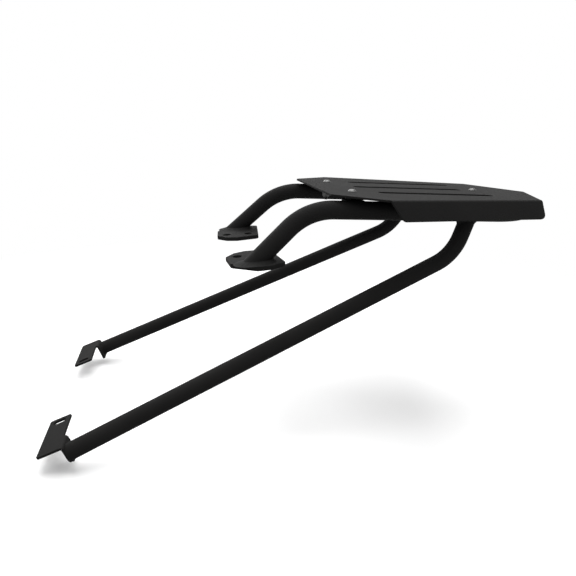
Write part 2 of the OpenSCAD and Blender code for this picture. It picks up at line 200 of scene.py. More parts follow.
def make_surface_grain():
    """Grain of a coated or moulded face: a coarse ripple and fine specks as one height,
    and a slow cloud for changes of tone."""
    group, given, result = new_group(
        "surface_grain",
        [("Ripple Scale", 450.0), ("Speck Scale", 2600.0), ("Speck Share", 0.3),
         ("Cloud Scale", 14.0)],
        ["Height", "Cloud", "Speck"])
    coords = group.nodes.new("ShaderNodeTexCoord").outputs["Object"]
    ripple = noise(group, coords, given.outputs["Ripple Scale"], 2.0)
    speck = noise(group, coords, given.outputs["Speck Scale"], 3.0, 0.6)
    cloud = noise(group, coords, given.outputs["Cloud Scale"], 4.0)
    share = math_node(group, "MULTIPLY", speck, given.outputs["Speck Share"])
    height = math_node(group, "ADD", ripple, share)
    group.links.new(height, result.inputs["Height"])
    group.links.new(cloud, result.inputs["Cloud"])
    group.links.new(speck, result.inputs["Speck"])
    return group


grain_group = make_surface_grain()


def span(tree, value, low, high, out_low, out_high):
    """Maps a value from low..high to out_low..out_high, held at its ends."""
    node = tree.nodes.new("ShaderNodeMapRange")
    tree.links.new(value, node.inputs["Value"])
    for label, number in zip(("From Min", "From Max", "To Min", "To Max"),
                             (low, high, out_low, out_high)):
        node.inputs[label].default_value = number
    return node.outputs["Result"]


def blend_colour(tree, factor, dark, light):
    """Colour that goes from dark to light with a factor."""
    node = tree.nodes.new("ShaderNodeMix")
    node.data_type = "RGBA"
    tree.links.new(factor, node.inputs[0])
    node.inputs[6].default_value = (*dark, 1)
    node.inputs[7].default_value = (*light, 1)
    return node.outputs[2]


def finish_material(name, dark, light, rough, grain, bump_height, bump_strength, **constants):
    """Finish from the shared grain: its cloud turns dark into light and changes the
    roughness, and its height drives a bump of the given height in metres."""
    material = bpy.data.materials.new(name)
    material.use_nodes = True
    tree = material.node_tree
    shader = tree.nodes["Principled BSDF"]
    group = tree.nodes.new("ShaderNodeGroup")
    group.node_tree = grain_group
    for label, number in grain.items():
        group.inputs[label].default_value = number
    tone = span(tree, group.outputs["Cloud"], 0.3, 0.7, 0.0, 1.0)
    tree.links.new(blend_colour(tree, tone, dark, light), shader.inputs["Base Color"])
    speck = span(tree, group.outputs["Speck"], 0.3, 0.7, -0.04, 0.04)
    gloss = span(tree, group.outputs["Cloud"], 0.3, 0.7, *rough)
    tree.links.new(math_node(tree, "ADD", gloss, speck), shader.inputs["Roughness"])
    bump = tree.nodes.new("ShaderNodeBump")
    bump.inputs["Distance"].default_value = bump_height
    bump.inputs["Strength"].default_value = bump_strength
    tree.links.new(group.outputs["Height"], bump.inputs["Height"])
    tree.links.new(bump.outputs["Normal"], shader.inputs["Normal"])
    for label, number in constants.items():
        shader.inputs[label.replace("_", " ")].default_value = number
    return material


powder_coat = finish_material(
    "satin_powder_coat", (0.0090, 0.0089, 0.0088), (0.0130, 0.0127, 0.0125), (0.64, 0.74),
    {"Ripple Scale": 520.0, "Speck Scale": 2400.0, "Speck Share": 0.35, "Cloud Scale": 11.0},
    0.00035, 0.5, Specular_IOR_Level=0.045)
black_steel = finish_material(
    "black_oxidised_steel", (0.075, 0.075, 0.074), (0.12, 0.12, 0.118), (0.34, 0.44),
    {"Ripple Scale": 900.0, "Speck Scale": 4200.0, "Speck Share": 0.6, "Cloud Scale": 160.0},
    0.00008, 0.4, Metallic=1.0)
rubber = finish_material(
    "matt_rubber", (0.020, 0.020, 0.020), (0.032, 0.032, 0.031), (0.72, 0.82),
    {"Ripple Scale": 700.0, "Speck Scale": 3000.0, "Speck Share": 0.8, "Cloud Scale": 60.0},
    0.0002, 0.6)
FINISHES = {"powder_coat": powder_coat, "black_steel": black_steel, "rubber": rubber}


# ---------------------------------------------------------------- mesh tools

def make_piece(name, points, faces, finish, *nodes, flats=False):
    """Mesh object from millimetre points and lists of corners. It rides on the root body
    and replaces the CAD nodes named. flats keeps big faces flat beside rounded edges."""
    mesh = bpy.data.meshes.new(name)
    mesh.from_pydata(np.asarray(points, float) * MM, [], faces)
    mesh.validate()
    mesh.shade_smooth()
    mesh.set_sharp_from_angle(angle=math.radians(50))
    piece = bpy.data.objects.new(name, mesh)
    bpy.context.scene.collection.objects.link(piece)
    mesh.materials.append(FINISHES[finish])
    if flats:
        weighted = piece.modifiers.new("flat_faces", "WEIGHTED_NORMAL")
        weighted.keep_sharp = True
        weighted.weight = 100
    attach(piece, "root")
    if nodes:
        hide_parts(*nodes)
    return piece


def grid_faces(rows, columns, first=0, around=True, closed=False):
    """Quads between neighbouring rows of a grid; around joins the last column to the
    first, and closed joins the last row to the first."""
    i, j = np.meshgrid(np.arange(rows if closed else rows - 1),
                       np.arange(columns if around else columns - 1), indexing="ij")
    i, j = i.ravel(), j.ravel()
    next_i, next_j = (i + 1) % rows, (j + 1) % columns
    quads = np.stack([i * columns + j, i * columns + next_j,
                      next_i * columns + next_j, next_i * columns + j], axis=1)
    return (quads + first).tolist()


def capped_faces(rows, columns):
    """Quads of a closed-round grid with one many-sided face on each end row."""
    last = (rows - 1) * columns
    ends = [list(range(columns))[::-1], list(range(last, last + columns))]
    return grid_faces(rows, columns) + ends


def turned_round(faces):
    """The same faces with their outer sides swapped for their inner ones."""
    return [face[::-1] for face in faces]


def both_sides(name, points, faces, finish, node, flats=False):
    """The right-hand piece and its mirror image, each standing for its own CAD node."""
    points = np.asarray(points, float)
    make_piece(name + "_right", points, faces, finish, node.format("right"), flats=flats)
    make_piece(name + "_left", points * LEFT, turned_round(faces), finish,
               node.format("left"), flats=flats)


# ---------------------------------------------------------------- tubes

def bent_line(corners, radius, steps=20):
    """Centre line of a bent tube and its directions. Each inner corner becomes an arc that
    touches both runs: start + R (sin a · run + (1 - cos a) · inward)."""
    corners = np.asarray(corners, float)
    runs = unit(np.diff(corners, axis=0))
    line, ways = [corners[:1]], [runs[:1]]
    for corner, run, following in zip(corners[1:-1], runs[:-1], runs[1:]):
        turn = math.acos(run @ following)
        inward = unit(following - (following @ run) * run)
        start = corner - run * radius * math.tan(turn / 2)
        a = np.linspace(0, turn, steps)[:, None]
        line.append(start + radius * (np.sin(a) * run + (1 - np.cos(a)) * inward))
        ways.append(np.cos(a) * run + np.sin(a) * inward)
    line.append(corners[-1:])
    ways.append(runs[-1:])
    return np.concatenate(line), np.concatenate(ways)


def rings(line, ways, radius, across, sides=64):
    """Circles square to the line: centre + r (cos t · u + sin t · v), where u is square to
    the line and to the direction across."""
    u = unit(np.cross(across, ways))
    v = np.cross(ways, u)
    t = np.linspace(0, 2 * math.pi, sides, endpoint=False)[None, :, None]
    return line[:, None] + radius * (np.cos(t) * u[:, None] + np.sin(t) * v[:, None])


def slide_to_plane(ring, way, point, normal):
    """Each point of the ring moved along way until it lies in the plane."""
    distance = (np.asarray(point) - ring) @ normal / (way @ normal)
    return ring + distance[:, None] * way


def slide_to_tube(ring, way, point, axis, radius):
    """Each point of the ring moved along way to the near side of a round tube: the smaller
    root of |(p + d · way) - axis| = r."""
    gap = ring - np.asarray(point)
    gap = gap - (gap @ axis)[:, None] * axis
    step = way - (way @ axis) * axis
    a, b = step @ step, gap @ step
    c = np.sum(gap * gap, axis=1) - radius * radius
    return ring + ((-b - np.sqrt(np.maximum(b * b - a * c, 0))) / a)[:, None] * way


# Hoop, from the left-hand foot over the rear to the right-hand foot
foot_normal = np.array([-sin(FOOT_TILT), 0.0, cos(FOOT_TILT)])
leg_way = np.array([-cos(LEG_SLOPE), sin(LEG_SLOPE) * sin(LEG_LEAN),
                    -sin(LEG_SLOPE) * cos(LEG_LEAN)])
leg_corner = np.array([HOOP_LEG_X, HOOP_Y, HOOP_Z])
leg_end = leg_corner + leg_way * (FOOT_DROP + HOOP_Z) / -leg_way[2]
foot_point = np.array([leg_end[0], 0.0, leg_end[2]])
rear_corner = np.array([HOOP_REAR_X, HOOP_Y, HOOP_Z])
hoop_line, hoop_ways = bent_line(
    [leg_end * LEFT, leg_corner * LEFT, rear_corner * LEFT, rear_corner, leg_corner, leg_end],
    HOOP_BEND)
hoop_rings = rings(hoop_line, hoop_ways, HOOP_R, np.array([0.0, 0.0, 1.0]))
hoop_rings[0] = slide_to_plane(hoop_rings[0], hoop_ways[0], foot_point, foot_normal)
hoop_rings[-1] = slide_to_plane(hoop_rings[-1], hoop_ways[-1], foot_point, foot_normal)
make_piece("hoop", hoop_rings.reshape(-1, 3), capped_faces(*hoop_rings.shape[:2]),
           "powder_coat", "hoop_tube")


def spread(x, z):
    """A direction in the vertical plane, leaned out and spread as the right-hand stay is."""
    return np.array([
        x * cos(STAY_SPREAD) - z * sin(STAY_LEAN) * sin(STAY_SPREAD),
        -x * sin(STAY_SPREAD) - z * sin(STAY_LEAN) * cos(STAY_SPREAD),
        z * cos(STAY_LEAN)])


# Right-hand stay
neck_slope = STAY_SLOPE + STAY_BEND
neck_way = spread(-cos(neck_slope), -sin(neck_slope))
stay_way = spread(-cos(STAY_SLOPE), -sin(STAY_SLOPE))
stay_back = STAY_BEND_R * math.tan(math.radians(STAY_BEND / 2))
stay_top = np.array([STAY_TOP_X, HOOP_Y, HOOP_Z])
stay_corner = stay_top + neck_way * (STAY_NECK + stay_back)
stay_end = stay_corner + stay_way * (stay_back + STAY_LEN)
tab_ahead = np.array([-cos(TAB_SLOPE), 0.0, -sin(TAB_SLOPE)])
tab_in = np.array([0.0, -1.0, 0.0])
tab_up = np.array([-sin(TAB_SLOPE), 0.0, cos(TAB_SLOPE)])
hoop_axis = np.array([1.0, 0.0, 0.0])

stay_line, stay_ways = bent_line([stay_top, stay_corner, stay_end], STAY_BEND_R)
stay_rings = rings(stay_line, stay_ways, STAY_R, unit(np.cross(neck_way, stay_way)))
stay_rings[0] = slide_to_tube(stay_rings[0] + neck_way * STAY_NECK, -neck_way, stay_top,
                              hoop_axis, HOOP_R - 0.1)
stay_rings[-1] = slide_to_plane(stay_rings[-1], stay_way, stay_end, tab_ahead)
both_sides("stay", stay_rings.reshape(-1, 3), capped_faces(*stay_rings.shape[:2]),
           "powder_coat", "stay_{}")


# ---------------------------------------------------------------- sheet pieces

def rounded(points, radii, steps=8):
    """Outline with each corner turned into an arc that touches both edges; a corner with
    no radius stays sharp."""
    points = np.asarray(points, float)
    into = unit(points - np.roll(points, 1, axis=0))
    away = unit(np.roll(points, -1, axis=0) - points)
    outline = []
    for corner, u, w, radius in zip(points, into, away, radii):
        if radius == 0:
            outline.append(corner[None])
            continue
        turn = math.atan2(u[0] * w[1] - u[1] * w[0], u @ w)
        start = corner - u * radius * math.tan(abs(turn) / 2)
        inward = np.array([-u[1], u[0]]) * math.copysign(1, turn)
        a = np.linspace(0, abs(turn), steps)[:, None]
        outline.append(start + radius * (np.sin(a) * u + (1 - np.cos(a)) * inward))
    return np.concatenate(outline)


def slot_loop(start, y, length, width, steps=17):
    """Long hole from one end to the other along x, run clockwise: two half circles."""
    a = np.radians(np.linspace(90, -90, steps))
    r = width / 2
    right = np.stack([start + length - r + r * np.cos(a), y + r * np.sin(a)], axis=1)
    left = np.stack([start + r - r * np.cos(a), y - r * np.sin(a)], axis=1)
    return np.concatenate([right, left])


def hole_loop(x, y, diameter, steps=40):
    """Round hole, run clockwise."""
    a = np.linspace(0, -2 * math.pi, steps, endpoint=False)
    return np.stack([x + diameter / 2 * np.cos(a), y + diameter / 2 * np.sin(a)], axis=1)


def shrunk(loop, by):
    """Outline moved into the sheet: each corner moves along the half angle of its edges,
    far enough that both edges move by the same distance."""
    into = unit(loop - np.roll(loop, 1, axis=0))
    away = unit(np.roll(loop, -1, axis=0) - loop)
    normal = np.stack([-(into + away)[:, 1], (into + away)[:, 0]], axis=1)
    normal = unit(normal)
    square = np.sum(normal * np.stack([-into[:, 1], into[:, 0]], axis=1), axis=1)
    return loop + normal * (by / np.maximum(square, 0.3))[:, None]


def filled(loops, lines):
    """Triangles that fill the loops, holes left open, with edges along the given lines.
    A triangle stays if its middle has an odd number of outline edges to its right."""
    points = np.concatenate(loops)
    edges, first = [], 0
    for loop in loops:
        n = len(loop)
        edges += [(first + k, first + (k + 1) % n) for k in range(n)]
        first += n
    flat = [mathutils.Vector(p) for p in points]
    _, _, faces, origin, _, _ = mathutils.geometry.delaunay_2d_cdt(
        flat, edges + lines, [], 0, 1e-7)
    corners = np.array([[origin[k][0] for k in face] for face in faces])
    middle = points[corners].mean(axis=1)
    a = np.concatenate(loops)
    b = np.concatenate([np.roll(loop, -1, axis=0) for loop in loops])
    x, y = middle[:, :1], middle[:, 1:]
    spans = (a[:, 1] > y) != (b[:, 1] > y)
    rise = np.where(b[:, 1] == a[:, 1], 1.0, b[:, 1] - a[:, 1])
    crossing = a[:, 0] + (y - a[:, 1]) / rise * (b[:, 0] - a[:, 0])
    inside = np.sum(spans & (crossing > x), axis=1) % 2 == 1
    return corners[inside].tolist()


def sheet(loops, thickness, edge, lines=()):
    """Flat sheet below z = 0 with rounded edges: the profile (inset, z) of a quarter circle,
    a straight wall and a quarter circle, carried round each loop, and both faces filled.
    lines are pairs of corner numbers, counted through the loops, that stay as edges."""
    a = np.radians([90.0, 60.0, 30.0, 0.0])
    inset = edge * (1 - np.cos(a))
    drop = edge * (1 - np.sin(a))
    profile = np.concatenate([np.stack([inset, -drop], axis=1),
                              np.stack([inset, drop - thickness], axis=1)[::-1]])
    points, faces, rims, first = [], [], [], 0
    for loop in loops:
        rows = np.stack([np.concatenate([shrunk(loop, s), np.full((len(loop), 1), z)], axis=1)
                         for s, z in profile])
        points.append(rows.reshape(-1, 3))
        faces += turned_round(grid_faces(*rows.shape[:2], first=first))
        rims.append(first + np.arange(len(loop)))
        first += rows.shape[0] * rows.shape[1]
    top = np.concatenate(rims)
    below = np.concatenate([rim + (len(profile) - 1) * len(rim) for rim in rims])
    fill = np.array(filled([shrunk(loop, edge) for loop in loops], list(lines)))
    faces += top[fill].tolist() + below[fill[:, ::-1]].tolist()
    return np.concatenate(points), faces


def folded(points, start, out, angle, outer_r, developed):
    """Sheet bent down about a line: a point at distance s past the line goes round the arc
    at the angle s / developed length, and straight on past it. Its distance from the arc's
    middle is the outer radius plus its own height."""
    out = np.append(unit(out), 0.0)
    s = (points - np.append(start, 0.0)) @ out
    a = np.clip(s / developed, 0, 1) * math.radians(angle)
    radius = outer_r + points[:, 2]
    past = np.maximum(s - developed, 0)
    across = np.where(s > 0, radius * np.sin(a) + past * np.cos(a), s)
    height = np.where(s > 0, radius * np.cos(a) - outer_r - past * np.sin(a), points[:, 2])
    moved = points + (across - s)[:, None] * out
    moved[:, 2] = height
    return moved


# Top plate with its two folded flanges, drawn flat and then folded
fold_angle = 90 - FLANGE_FLARE
fold_outer = FOLD_R + SHEET_T
fold_back = fold_outer * math.tan(math.radians(fold_angle / 2))
fold_arc = (FOLD_R + SHEET_T / 2) * math.radians(fold_angle)
side_turn = math.atan2((PLATE_WIDE - PLATE_REAR) / 2, PLATE_SIDE)
side_way = np.array([math.cos(side_turn), -math.sin(side_turn)])
side_out = np.array([math.sin(side_turn), math.cos(side_turn)])
fold_start = np.array([0.0, PLATE_WIDE / 2]) - fold_back * side_out
side_length = math.hypot(PLATE_SIDE, (PLATE_WIDE - PLATE_REAR) / 2)
flange_leg = FLANGE_LEN - fold_back


def on_side_fold(x, v):
    """Place in the flat plate at x along the right-hand fold and v outwards from it."""
    x, v = np.broadcast_arrays(np.asarray(x, float), np.asarray(v, float))
    return fold_start + x[..., None] * side_way + v[..., None] * side_out


fold_rows = np.linspace(0, fold_arc, 7)
leg_low = fold_arc + flange_leg
flange_ends = rounded(
    on_side_fold([side_length, side_length, FLANGE_START + FLANGE_RAKE, FLANGE_START],
                 [fold_arc, leg_low, leg_low, fold_arc]),
    [0, FLANGE_CORNER, FLANGE_CORNER, 0])
right_side = np.concatenate([
    on_side_fold(side_length, fold_rows[:-1]),
    flange_ends,
    on_side_fold(FLANGE_START, fold_rows[-2::-1]),
    [[0.0, PLATE_WIDE / 2 - fold_back / math.cos(side_turn)]]])
nose = rounded([[0.0, PLATE_WIDE / 2], [-PLATE_NOSE, PLATE_FRONT / 2],
                [-PLATE_NOSE, 0.0]], [0, PLATE_CORNER, 0])[1:-1]
apex = rounded([[PLATE_SIDE, -PLATE_REAR / 2 + fold_back], [PLATE_SIDE + PLATE_TAIL, 0.0],
                [PLATE_SIDE, PLATE_REAR / 2 - fold_back]], [0, PLATE_CORNER, 0])[1:-1]
FLAT = LEFT[:2]
half_outline = np.concatenate([right_side, nose])
plate_outline = np.concatenate([apex, half_outline, (half_outline * FLAT)[::-1]])
plate_loops = [
    plate_outline,
    slot_loop(SIDE_SLOT_X, SLOT_PITCH, SLOT_LEN, SLOT_W),
    slot_loop(SIDE_SLOT_X, -SLOT_PITCH, SLOT_LEN, SLOT_W),
    slot_loop(CENTRE_SLOT_X, 0.0, SLOT_LEN, SLOT_W),
    hole_loop(*FRONT_BOLT, HOLE_D),
    hole_loop(FRONT_BOLT[0], -FRONT_BOLT[1], HOLE_D),
    hole_loop(*REAR_BOLT, HOLE_D)]
n_fold, n_side, n_all = len(fold_rows), len(right_side), len(plate_outline)
first_right = len(apex)
fold_lines = [(first_right + k, first_right + n_side - 2 - k) for k in range(n_fold)]
mirrored = n_all - 1 + first_right
fold_lines += [(mirrored - a, mirrored - b) for a, b in fold_lines]
plate_points, plate_faces = sheet(plate_loops, SHEET_T, 0.5, fold_lines)
for side in (np.ones(2), FLAT):
    plate_points = folded(plate_points, fold_start * side, side_out * side, fold_angle,
                          fold_outer, fold_arc)
make_piece("slotted_plate", plate_points, plate_faces, "powder_coat", "top_plate", flats=True)

# Feet
foot_outline = rounded(FOOT_OUTLINE, [FOOT_CORNER] * len(FOOT_OUTLINE))
foot_flat, foot_faces = sheet(
    [foot_outline] + [hole_loop(x, y, FOOT_HOLE_D) for x, y in FOOT_HOLES], FOOT_T, 0.9)
foot_axes = np.array([[cos(FOOT_TILT), 0, sin(FOOT_TILT)], [0, 1, 0],
                      [-sin(FOOT_TILT), 0, cos(FOOT_TILT)]])
both_sides("foot_plate", foot_flat @ foot_axes + leg_end, foot_faces, "powder_coat",
           "foot_{}", flats=True)

# Tabs, drawn flat with the slotted leg behind the fold line and the cap in front of it
tab_arc = (TAB_FOLD_R - TAB_T / 2) * math.pi / 2
tab_outer_y = TAB_INSET - STAY_R
cap_y = tab_outer_y + TAB_CAP_W
tab_inner_y = tab_outer_y + TAB_W
cap_len = STAY_D + TAB_T + TAB_CAP_LIP - TAB_FOLD_R
tab_rows = np.linspace(0, tab_arc, 9)
cap_end = rounded([[tab_arc, tab_outer_y], [tab_arc + cap_len, tab_outer_y],
                   [tab_arc + cap_len, cap_y],
                   [tab_arc, cap_y]], [0, TAB_CAP_R, TAB_CORNER, 0])
tab_leg = rounded([[0.0, cap_y], [0.0, tab_inner_y], [TAB_FOLD_R - TAB_LEN, tab_inner_y],
                   [TAB_FOLD_R - TAB_LEN, tab_outer_y], [0.0, tab_outer_y]],
                  [0, TAB_CORNER, TAB_CORNER, TAB_CORNER, 0])[1:-1]
tab_outline = np.concatenate([
    np.stack([tab_rows[:-1], np.full(8, tab_outer_y)], axis=1), cap_end,
    np.stack([tab_rows[-2::-1], np.full(8, cap_y)], axis=1), tab_leg])
tab_lines = [(k, 2 * len(tab_rows) - 2 + len(cap_end) - 2 - k) for k in range(len(tab_rows))]
slot_at = (TAB_FOLD_R - TAB_LEN - TAB_SLOT_LEN) / 2
tab_flat, tab_faces = sheet(
    [tab_outline, slot_loop(slot_at, tab_inner_y - TAB_SLOT_IN, TAB_SLOT_LEN, TAB_SLOT_W)],
    TAB_T, 0.5, tab_lines)
tab_bent = folded(tab_flat, np.zeros(2), np.array([1.0, 0.0]), 90.0, TAB_FOLD_R, tab_arc)
tab_bent[:, 0] = TAB_FOLD_R - tab_bent[:, 0]
tab_bent[:, 2] += STAY_R + TAB_T
tab_axes = np.stack([tab_ahead, tab_in, tab_up])
both_sides("tab_plate", tab_bent @ tab_axes + stay_end, turned_round(tab_faces),
           "powder_coat", "tab_{}", flats=True)

# Lugs that carry the plate
def lug_shape(reach, steps=33):
    """Tongue with a round end on the bolt and a square root at reach, and its bolt hole."""
    a = np.radians(np.linspace(90, 270, steps))
    end = LUG_W / 2 * np.stack([np.cos(a), np.sin(a)], axis=1)
    root = [[reach, -LUG_W / 2], [reach, LUG_W / 2]]
    return sheet([np.concatenate([end, root]), hole_loop(0.0, 0.0, HOLE_D)], LUG_T, 0.6)


def into_tube(height):
    """How far past a tube's side, at its widest, a lug's end lies inside the wall."""
    return HOOP_R - math.sqrt(HOOP_R ** 2 - height ** 2) + 0.8


lug_bury = into_tube(HOOP_Z - (LUG_TOP_Z - LUG_T / 2) + LUG_T / 2)
lug_points, lug_faces = lug_shape(HOOP_Y - HOOP_R - FRONT_BOLT[1] + lug_bury)
lug_turned = np.stack([-lug_points[:, 1], lug_points[:, 0], lug_points[:, 2]], axis=1)
both_sides("front_lug", lug_turned + [*FRONT_BOLT, LUG_TOP_Z], lug_faces, "powder_coat",
           "lug_front_{}", flats=True)
lug_points, lug_faces = lug_shape(HOOP_REAR_X - HOOP_R - REAR_BOLT[0] + lug_bury)
make_piece("rear_lug", lug_points + [*REAR_BOLT, LUG_TOP_Z], lug_faces, "powder_coat",
           "lug_rear", flats=True)


# ---------------------------------------------------------------- welds

def bead(corner, up, out, leg_up, leg_out, size, ripples, bulge=0.45, depth=0.16, steps=9):
    """Fillet weld along a corner line. Its face runs from the toe, corner + out, to the
    other toe, corner + up, between a hollow quarter circle and a straight chord, with
    crescent ripples along it. Its back follows the corner. size scales it at each point."""
    m = len(corner)
    a = np.linspace(0, math.pi / 2, steps)[None, :, None]
    share = np.linspace(0, 1, steps)[None, :, None]
    hollow_out, hollow_up = 1 - np.sin(a), 1 - np.cos(a)
    across = hollow_out + bulge * (1 - share - hollow_out)
    along = hollow_up + bulge * (share - hollow_up)
    size = np.asarray(size, float).reshape(m, 1, 1)
    out, up = out[:, None] * leg_out * size, up[:, None] * leg_up * size
    face = corner[:, None] + across * out + along * up
    t = np.linspace(0, 1, m)[:, None, None]
    bow = 0.9 * (share - 0.5) ** 2
    scale = np.abs(np.cos(math.pi * (t * ripples + bow)))
    crown = np.sin(2 * a) * (scale - 0.5) * depth * np.minimum(size * 2, 1)
    face = face + crown * unit(out + up)
    return np.concatenate([face, corner[:, None]], axis=1)


def ring_points(section):
    """Points of a bead that runs all the way round, without the repeated last row."""
    return section[:-1].reshape(-1, 3)


def ring_bead_faces(section):
    """Faces of a bead that runs all the way round."""
    return grid_faces(len(section) - 1, section.shape[1], closed=True)


# Weld round each leg on its foot
leg_u = unit(np.cross(leg_way, foot_normal))
leg_v = np.cross(leg_way, leg_u)
turn = np.linspace(0, 2 * math.pi, 241)[:, None]
leg_out = np.cos(turn) * leg_u + np.sin(turn) * leg_v
leg_ring = slide_to_plane(leg_end + HOOP_R * leg_out, leg_way, foot_point, foot_normal)
on_plate = unit(leg_out - (leg_out @ foot_normal)[:, None] * foot_normal)
leg_bead = bead(leg_ring, np.broadcast_to(-leg_way, leg_ring.shape), on_plate, 5.5, 7.5,
                np.ones(241), 22, 0.7, 0.22)
both_sides("foot_weld", ring_points(leg_bead), ring_bead_faces(leg_bead), "powder_coat",
           "weld_foot_{}")

# Weld round each stay under the hoop
stay_u = unit(np.cross(neck_way, hoop_axis))
stay_v = np.cross(neck_way, stay_u)
stay_out = np.cos(turn) * stay_u + np.sin(turn) * stay_v
far_ring = stay_top + neck_way * STAY_NECK + STAY_R * stay_out
stay_ring = slide_to_tube(far_ring, -neck_way, stay_top, hoop_axis, HOOP_R)
from_axis = stay_ring - stay_top
from_axis = unit(from_axis - (from_axis @ hoop_axis)[:, None] * hoop_axis)
on_hoop = unit(stay_out - np.sum(stay_out * from_axis, axis=1)[:, None] * from_axis)
stay_bead = bead(stay_ring, np.broadcast_to(neck_way, stay_ring.shape), on_hoop,
                 4.0, 3.6, np.ones(241), 22)
lift = np.linspace(1, 0, 9)[None, :, None] ** 2 * 3.6 ** 2 / HOOP_D
stay_bead[:, :9] -= lift * from_axis[:, None]
both_sides("stay_weld", ring_points(stay_bead), turned_round(ring_bead_faces(stay_bead)),
           "powder_coat", "weld_stay_{}")


def open_bead(section):
    """Faces of a bead with two ends, which shrink to the corner line."""
    rows, columns = section.shape[:2]
    return capped_faces(rows, columns)


def tapered(m, ends=0.12):
    """Size of a bead along its length: full, with an elliptic run-out at both ends."""
    t = np.linspace(0, 1, m)
    near = np.minimum(t, 1 - t) / ends
    return np.sqrt(1 - (1 - np.clip(near, 0.02, 1)) ** 2)


# Weld of each stay to its tab's cap, on the inner and lower side
arc = np.radians(np.linspace(-48, 118, 121))[:, None]
cap_out = np.cos(arc) * tab_in - np.sin(arc) * tab_up
cap_ring = slide_to_plane(stay_end + STAY_R * cap_out, stay_way, stay_end, tab_ahead)
tab_bead = bead(cap_ring, np.broadcast_to(-stay_way, cap_ring.shape), cap_out, 3.0,
                2.4, tapered(121), 9)
both_sides("tab_weld", tab_bead.reshape(-1, 3), turned_round(open_bead(tab_bead)),
           "powder_coat", "weld_tab_{}")

# Beads under the lugs
down = np.array([0.0, 0.0, -1.0])
lug_touch = math.sqrt(HOOP_R ** 2 - (HOOP_Z - LUG_LOW_Z) ** 2)
run = np.linspace(-LUG_W / 2 + 0.5, LUG_W / 2 - 0.5, 97)[:, None]
ones = np.ones((97, 1))


def lug_bead(side_point, run_way, inward):
    """Bead along the lug's underside at the tube, from the lug's one side to the other."""
    corner = side_point + run * run_way
    return bead(corner, ones * down, ones * inward, 3.0, 3.0, tapered(97), 9)


front_side = np.array([FRONT_BOLT[0], HOOP_Y - lug_touch, LUG_LOW_Z])
front_bead = lug_bead(front_side, np.array([1.0, 0.0, 0.0]), np.array([0.0, -1.0, 0.0]))
both_sides("front_lug_weld", front_bead.reshape(-1, 3), open_bead(front_bead),
           "powder_coat", "weld_lug_front_{}")
rear_side = np.array([HOOP_REAR_X - lug_touch, 0.0, LUG_LOW_Z])
rear_bead = lug_bead(rear_side, np.array([0.0, -1.0, 0.0]), np.array([-1.0, 0.0, 0.0]))
make_piece("rear_lug_weld", rear_bead.reshape(-1, 3), open_bead(rear_bead),
           "powder_coat", "weld_lug_rear")


# ---------------------------------------------------------------- fasteners

AROUND = 48
theta = np.linspace(0, 2 * math.pi, AROUND, endpoint=False)


def hexagon(flats):
    """Distance of a hexagon's outline from its middle at each angle."""
    sector = np.mod(theta, math.pi / 3) - math.pi / 6
    return flats / 2 / np.cos(sector)


def turned(rows, at):
    """Turned piece: each row is (radius, height), where both may change round the axis."""
    r = np.stack([np.broadcast_to(row[0], AROUND) for row in rows])
    z = np.stack([np.broadcast_to(row[1], AROUND) for row in rows])
    return np.stack([at[0] + r * np.cos(theta), at[1] + r * np.sin(theta), z], axis=2)


def thread_rows(top, tip, radius, depth, steps_per_turn=6):
    """Rows down a threaded shank: radius - depth · |saw(z / pitch - angle)|, which fades in
    over the first turn and out at the tip."""
    count = int((top - tip) / THREAD_PITCH * steps_per_turn)
    rows = []
    for z in np.linspace(top, tip, count):
        phase = np.mod(z / THREAD_PITCH - theta / (2 * math.pi), 1.0)
        groove = 1 - np.abs(2 * phase - 1)
        fade = min(1.0, (top - z) / THREAD_PITCH, (z - tip) / (0.4 * THREAD_PITCH))
        rows.append((radius - depth * groove * max(fade, 0.0), z))
    return rows


washer_z = LUG_LOW_Z - WASHER_T
nut_z = washer_z - NUT_H
bolt_tip = nut_z - BOLT_PROUD


def bolt_rows():
    """Round-headed bolt: socket floor, socket wall with a small chamfer, dome, rim, plain
    shank, thread and chamfered tip."""
    head_r = HEAD_D / 2
    dome_r = (head_r ** 2 + HEAD_H ** 2) / (2 * HEAD_H)
    socket = hexagon(SOCKET_AF)
    floor = HEAD_H - SOCKET_DEPTH

    def dome(r):
        return HEAD_H - dome_r + np.sqrt(dome_r ** 2 - r ** 2)

    rows = [(0.02, floor - 0.5), (1.2, floor - 0.15), (socket, floor)]
    rows += [(socket, dome(socket) - 0.45), (socket + 0.28, dome(socket + 0.28))]
    rows += [(socket + 0.28 + (head_r - 0.35 - socket - 0.28) * k / 6,
              dome(socket + 0.28 + (head_r - 0.35 - socket - 0.28) * k / 6))
             for k in range(1, 7)]
    rows += [(head_r - 0.1, 0.42), (head_r - 0.02, 0.25), (head_r - 0.12, 0.02),
             (head_r - 0.4, 0.0), (BOLT_D / 2, 0.0), (BOLT_D / 2, washer_z + 1.0)]
    rows += thread_rows(washer_z + 0.9, bolt_tip + 0.7, BOLT_D / 2, 0.55)
    return rows + [(BOLT_D / 2 - 0.6, bolt_tip + 0.05), (BOLT_D / 2 - 0.9, bolt_tip),
                   (0.02, bolt_tip)]


